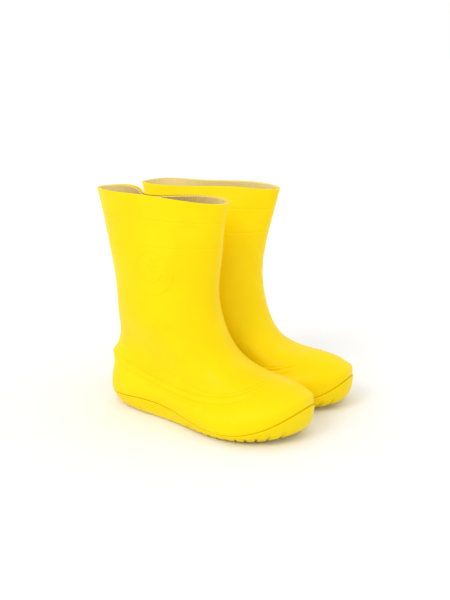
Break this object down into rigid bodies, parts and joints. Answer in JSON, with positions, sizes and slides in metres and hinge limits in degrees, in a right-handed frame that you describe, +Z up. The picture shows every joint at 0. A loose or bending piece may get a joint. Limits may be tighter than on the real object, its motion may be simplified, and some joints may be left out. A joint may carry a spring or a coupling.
{
  "type": "deck boots",
  "caption": "Pair of short moulded deck boots with flared soft shafts, knitted lining, toe bumper, kick spur and flat grooved sole.",
  "frame": {"origin": "on the floor, in the middle of the standing pair's box", "axes": "+Z up, the toes point towards -Y, the wearer's right boot stands at -X and the left boot at +X"},
  "size_m": [0.1836, 0.2283, 0.205],
  "materials": {
    "yellow_pvc": "satin",
    "yellow_sole": "satin",
    "cream_knit": "matte",
    "lining_board": "matte",
    "insole_foam": "matte",
    "insole_textile": "matte"
  },
  "bodies": {
    "left_boot": {"left_upper": "yellow_pvc", "left_outsole": "yellow_sole", "left_lining": "cream_knit", "left_lining_sole": "lining_board"},
    "right_boot": {"right_upper": "yellow_pvc", "right_outsole": "yellow_sole", "right_lining": "cream_knit", "right_lining_sole": "lining_board"},
    "left_footbed": {"left_insole": "insole_foam", "left_insole_cover": "insole_textile"},
    "right_footbed": {"right_insole": "insole_foam", "right_insole_cover": "insole_textile"}
  },
  "joints": [
    {"name": "boots_apart", "type": "slide", "parent": "left_boot", "child": "right_boot", "axis": [-1, 0, 0], "range_m": [0, 0.15]},
    {"name": "left_insole_lift", "type": "hinge", "parent": "left_boot", "child": "left_footbed", "pos_m": [0.04978, -0.10436, 0.0156], "axis": [0.9968, 0.0802, 0], "range_deg": [0, 6]},
    {"name": "right_insole_lift", "type": "hinge", "parent": "right_boot", "child": "right_footbed", "pos_m": [-0.04978, -0.10436, 0.0156], "axis": [0.9968, -0.0802, 0], "range_deg": [0, 6]}
  ]
}
